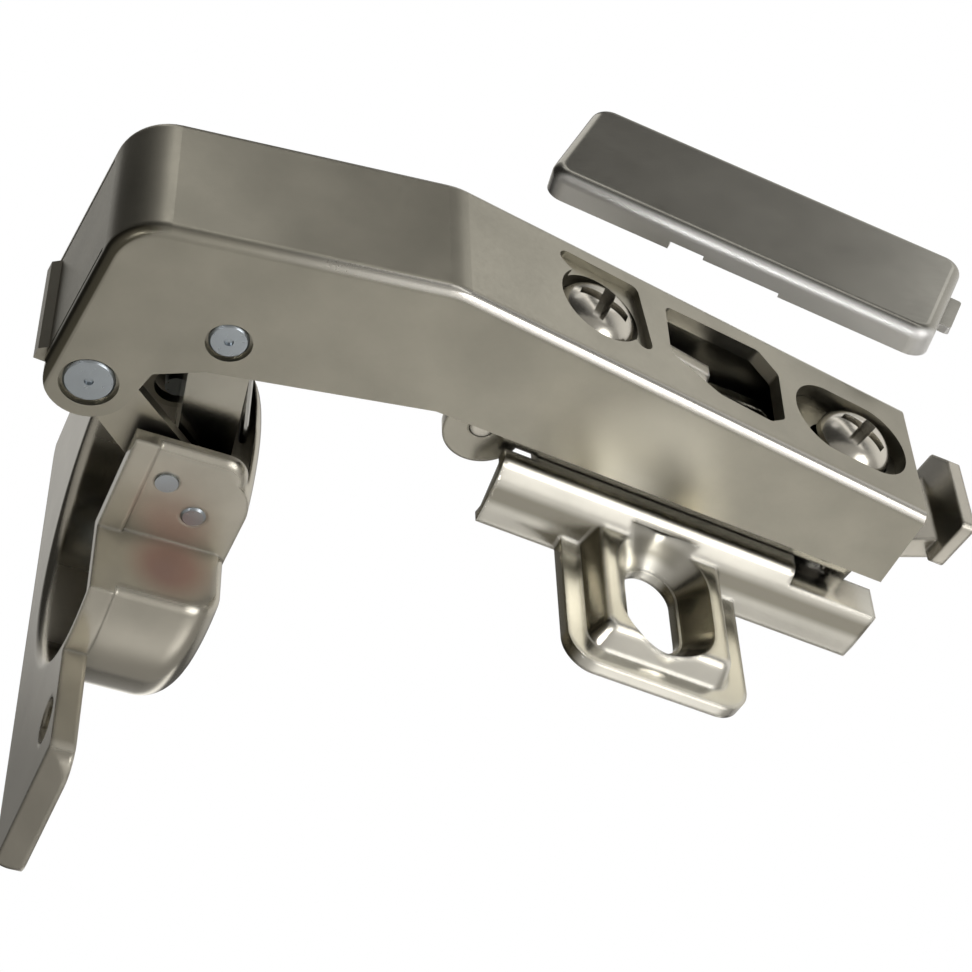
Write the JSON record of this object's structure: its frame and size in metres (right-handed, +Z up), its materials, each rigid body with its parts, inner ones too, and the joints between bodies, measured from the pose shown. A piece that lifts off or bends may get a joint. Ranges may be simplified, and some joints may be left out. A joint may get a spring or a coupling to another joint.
{
  "type": "concealed cup hinge",
  "caption": "Concealed cup hinge shown open: drawn cup with flange, two links, pressed arm with adjusting screws, clip-on mounting plate with slotted wings, and a push-on cover cap taken off.",
  "frame": {"origin": "on the panel face, midway between the two screw slots of the mounting plate", "axes": "+X to the back of the arm, +Y into the panel that the plate is screwed to, +Z up along the hinge pins"},
  "size_m": [0.0898, 0.0711, 0.0738],
  "materials": {
    "nickel_arm": "satin nickel plated pressed steel",
    "nickel_cup": "polished nickel plated drawn steel",
    "nickel_plate": "bright nickel plated pressed steel",
    "nickel_cap": "brushed nickel plated drawn steel",
    "nickel_small": "bright nickel plated turned and pressed steel",
    "zinc_rivet": "bluish zinc plated steel",
    "spring_steel": "drawn spring wire",
    "nylon": "natural nylon"
  },
  "bodies": {
    "base": {"mounting_plate": "nickel_plate", "adjuster_channel": "nickel_plate", "front_hook_pin": "nickel_small", "lever_pin": "nickel_small", "lever_spring": "spring_steel"},
    "lever": {"release_lever": "nickel_small"},
    "nut": {"lock_nut": "nickel_small"},
    "lock_screw": {"depth_lock_screw": "nickel_small"},
    "arm": {"hinge_arm": "nickel_arm", "outer_link_rivet": "zinc_rivet", "inner_link_rivet": "zinc_rivet", "spring_bush": "nylon"},
    "adjust_screw": {"side_adjust_screw": "nickel_small"},
    "inner_arm": {"inner_link": "nickel_cup", "closing_spring": "spring_steel"},
    "outer_arm": {"outer_link": "nickel_arm"},
    "cup": {"hinge_cup": "nickel_cup", "cup_outer_pins": "zinc_rivet", "cup_inner_pin": "zinc_rivet"},
    "cap": {"cover_cap": "nickel_cap"}
  },
  "joints": [
    {"name": "lever_release", "type": "hinge", "parent": "base", "child": "lever", "pos_m": [0.0176, -0.0077, 0], "axis": [0, 0, -1], "range_deg": [0, 18], "stiffness_Nm_per_rad": 0.02, "springref_deg": -20.05, "deforming": ["lever_spring"]},
    {"name": "side_adjust", "type": "hinge", "parent": "arm", "child": "adjust_screw", "pos_m": [-0.0155, -0.01823, 0], "axis": [0, -1, 0], "range_deg": [-330, 330]},
    {"name": "arm_tilt", "type": "hinge", "parent": "base", "child": "nut", "pos_m": [0.0152, -0.0111, 0], "axis": [0, 0, 1], "range_deg": [-1.3, 1.3]},
    {"name": "depth_adjust", "type": "slide", "parent": "nut", "child": "arm", "axis": [1, 0, 0], "range_m": [-0.0014, 0.0024]},
    {"name": "depth_lock", "type": "hinge", "parent": "nut", "child": "lock_screw", "pos_m": [0.0152, -0.01591, 0], "axis": [0, -1, 0], "range_deg": [-180, 180]},
    {"name": "inner_link_swing", "type": "hinge", "parent": "arm", "child": "inner_arm", "pos_m": [-0.0468, -0.007, 0], "axis": [0, 0, 1], "range_deg": [0, 18.2]},
    {"name": "outer_link_swing", "type": "hinge", "parent": "arm", "child": "outer_arm", "pos_m": [-0.0561, 0.0029, 0], "axis": [0, 0, 1], "range_deg": [-4.8, 0]},
    {"name": "door_swing", "type": "hinge", "parent": "inner_arm", "child": "cup", "pos_m": [-0.04115, 0.01361, 0], "axis": [0, 0, 1], "range_deg": [0, 76.9]},
    {"name": "cap_lift", "type": "slide", "parent": "arm", "child": "cap", "axis": [-0.2971, -0.5805, -0.7581], "range_m": [0, 0.0235]}
  ],
  "couplings": [
    {"joint": "inner_link_swing", "follows": "door_swing", "ratio": 0.23381},
    {"joint": "outer_link_swing", "follows": "door_swing", "ratio": -0.06056},
    {"joint": "arm_tilt", "follows": "side_adjust", "ratio": 0.003636}
  ]
}
